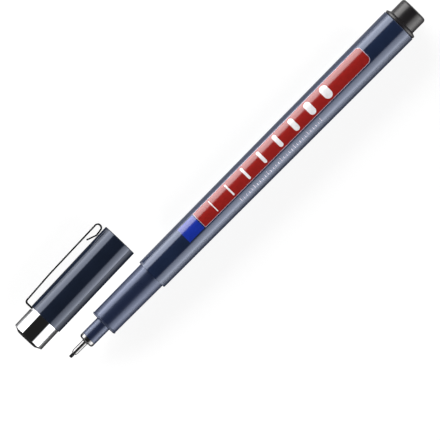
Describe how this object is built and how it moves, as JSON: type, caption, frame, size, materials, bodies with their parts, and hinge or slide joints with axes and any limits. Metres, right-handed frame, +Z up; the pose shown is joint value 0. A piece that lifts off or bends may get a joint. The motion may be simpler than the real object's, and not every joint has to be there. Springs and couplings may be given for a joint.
{
  "type": "fineliner pen",
  "caption": "Slim fineliner pen with a fibre tip in a steel needle, a tapered barrel and a rear plug, its clip cap taken off and laid beside it.",
  "frame": {"origin": "on the table, under the middle of the box round the pen and its laid-off cap", "axes": "+X along the pen from the nib to the rear plug, +Y from the pen towards the cap, +Z up from the table"},
  "size_m": [0.1356, 0.0254, 0.0104],
  "materials": {
    "barrel_plastic": "gloss navy, printed",
    "section_plastic": "satin gloss navy",
    "cap_plastic": "gloss dark navy",
    "black_plastic": "satin gloss black",
    "nib_steel": "polished steel",
    "bright_chrome": "mirror chrome",
    "clip_chrome": "polished spring steel",
    "tip_fibre": "ink-soaked fibre",
    "reservoir_fibre": "ink-soaked polyester fibre",
    "reservoir_film": "clear film",
    "liner_plastic": "soft natural plastic"
  },
  "bodies": {
    "pen": {"barrel": "barrel_plastic", "section": "section_plastic", "nib_holder": "section_plastic", "nib_ferrule": "nib_steel", "fibre_tip": "tip_fibre", "ink_reservoir": "reservoir_fibre", "reservoir_film": "reservoir_film", "rear_plug": "black_plastic"},
    "cap": {"cap_tube": "cap_plastic", "cap_liner": "liner_plastic", "cap_ferrule": "bright_chrome", "cap_end_plug": "black_plastic"},
    "clip": {"clip": "clip_chrome"}
  },
  "joints": [
    {"name": "cap_pull", "type": "slide", "parent": "pen", "child": "cap", "axis": [-0.9997, -0.0244, -0.0034], "range_m": [0, 0.036]},
    {"name": "clip_flex", "type": "hinge", "parent": "cap", "child": "clip", "pos_m": [-0.06063, 0.00785, 0.00507], "axis": [-0.0034, -0.0001, 1], "range_deg": [0, 6], "stiffness_Nm_per_rad": 0.5}
  ]
}
